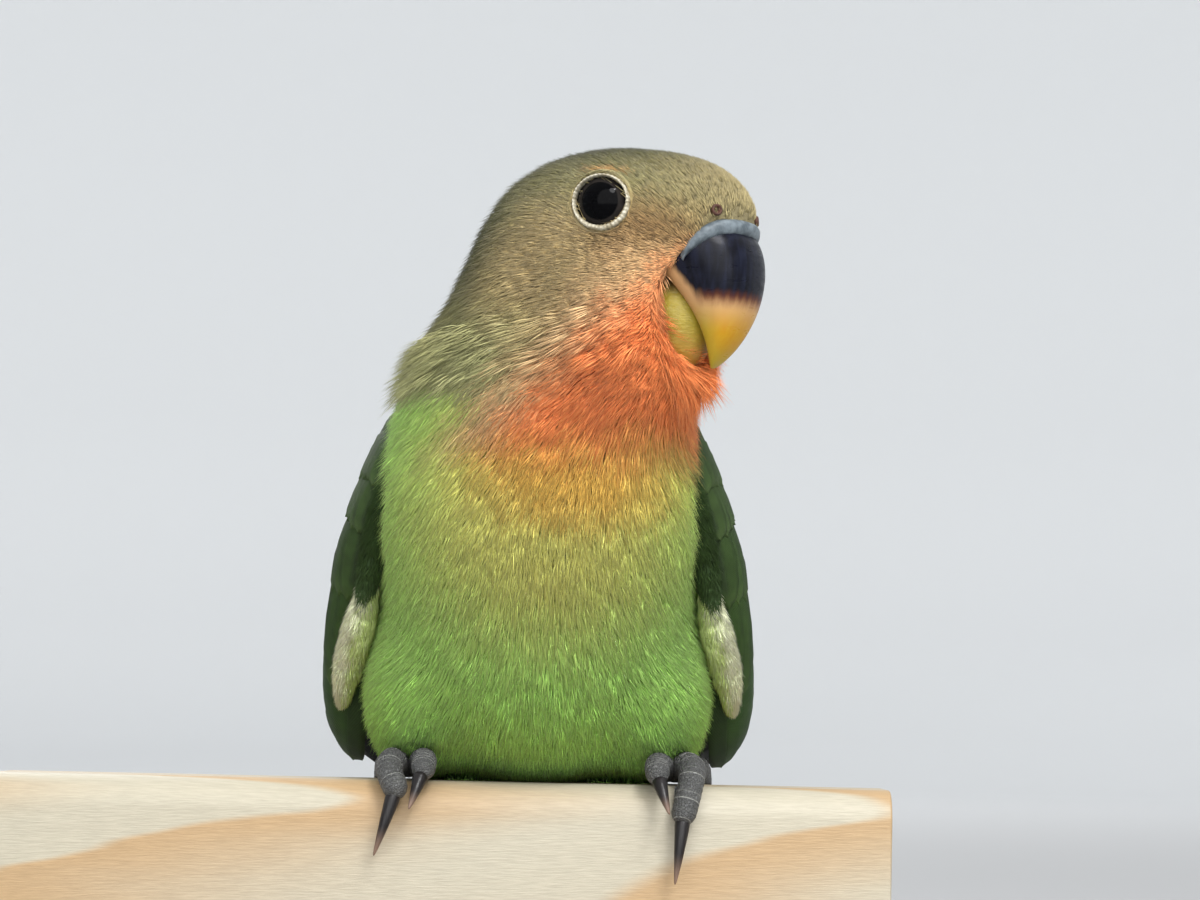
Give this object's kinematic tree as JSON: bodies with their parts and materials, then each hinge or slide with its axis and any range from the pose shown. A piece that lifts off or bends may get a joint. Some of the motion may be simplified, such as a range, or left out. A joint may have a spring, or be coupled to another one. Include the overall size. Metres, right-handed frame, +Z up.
{
  "type": "lovebird perched on a display stand",
  "caption": "Still life-size peach-faced lovebird with turned head, folded wings and hooked toes, gripping a short pine bar on a low stand.",
  "frame": {"origin": "centre of the underside of the stand's base", "axes": "+Z up, +X to the viewer's right, the bird's left; the bird's breast faces -Y and its tail points to +Y"},
  "size_m": [0.11, 0.1081, 0.1154],
  "materials": {
    "head_plumage": "soft short feathers, olive grey above and tan at the cheek",
    "throat_plumage": "soft feathers, salmon orange at the throat, olive at the nape",
    "body_plumage": "soft silky feathers, yellow green to green",
    "wing_feathers": "firm dark green vanes with blackish tips",
    "tail_feathers": "firm green vanes with an orange and a black band",
    "upper_bill": "horn, blue black at the base and amber at the tip",
    "lower_bill": "horn, olive yellow",
    "eye": "wet black",
    "foot_skin": "fine grey scales",
    "claw": "horn, black with a paler brown tip",
    "pine": "planed pine with orange latewood lines",
    "stand_wood": "satin varnished walnut",
    "rod_steel": "brushed"
  },
  "bodies": {
    "root": {"head": "head_plumage", "neck": "throat_plumage", "torso": "body_plumage", "leg_left": "body_plumage", "leg_right": "body_plumage", "wing_left": "wing_feathers", "wing_right": "wing_feathers", "tail": "tail_feathers", "bill_upper": "upper_bill", "bill_lower": "lower_bill", "eye_left": "eye", "eye_right": "eye", "foot_left": "foot_skin", "foot_right": "foot_skin", "claw_left_outer_front": "claw", "claw_left_inner_front": "claw", "claw_left_outer_back": "claw", "claw_left_inner_back": "claw", "claw_right_outer_front": "claw", "claw_right_inner_front": "claw", "claw_right_outer_back": "claw", "claw_right_inner_back": "claw", "perch_bar": "pine", "stand_base": "stand_wood", "stand_rod_left": "rod_steel", "stand_rod_right": "rod_steel"}
  },
  "joints": []
}
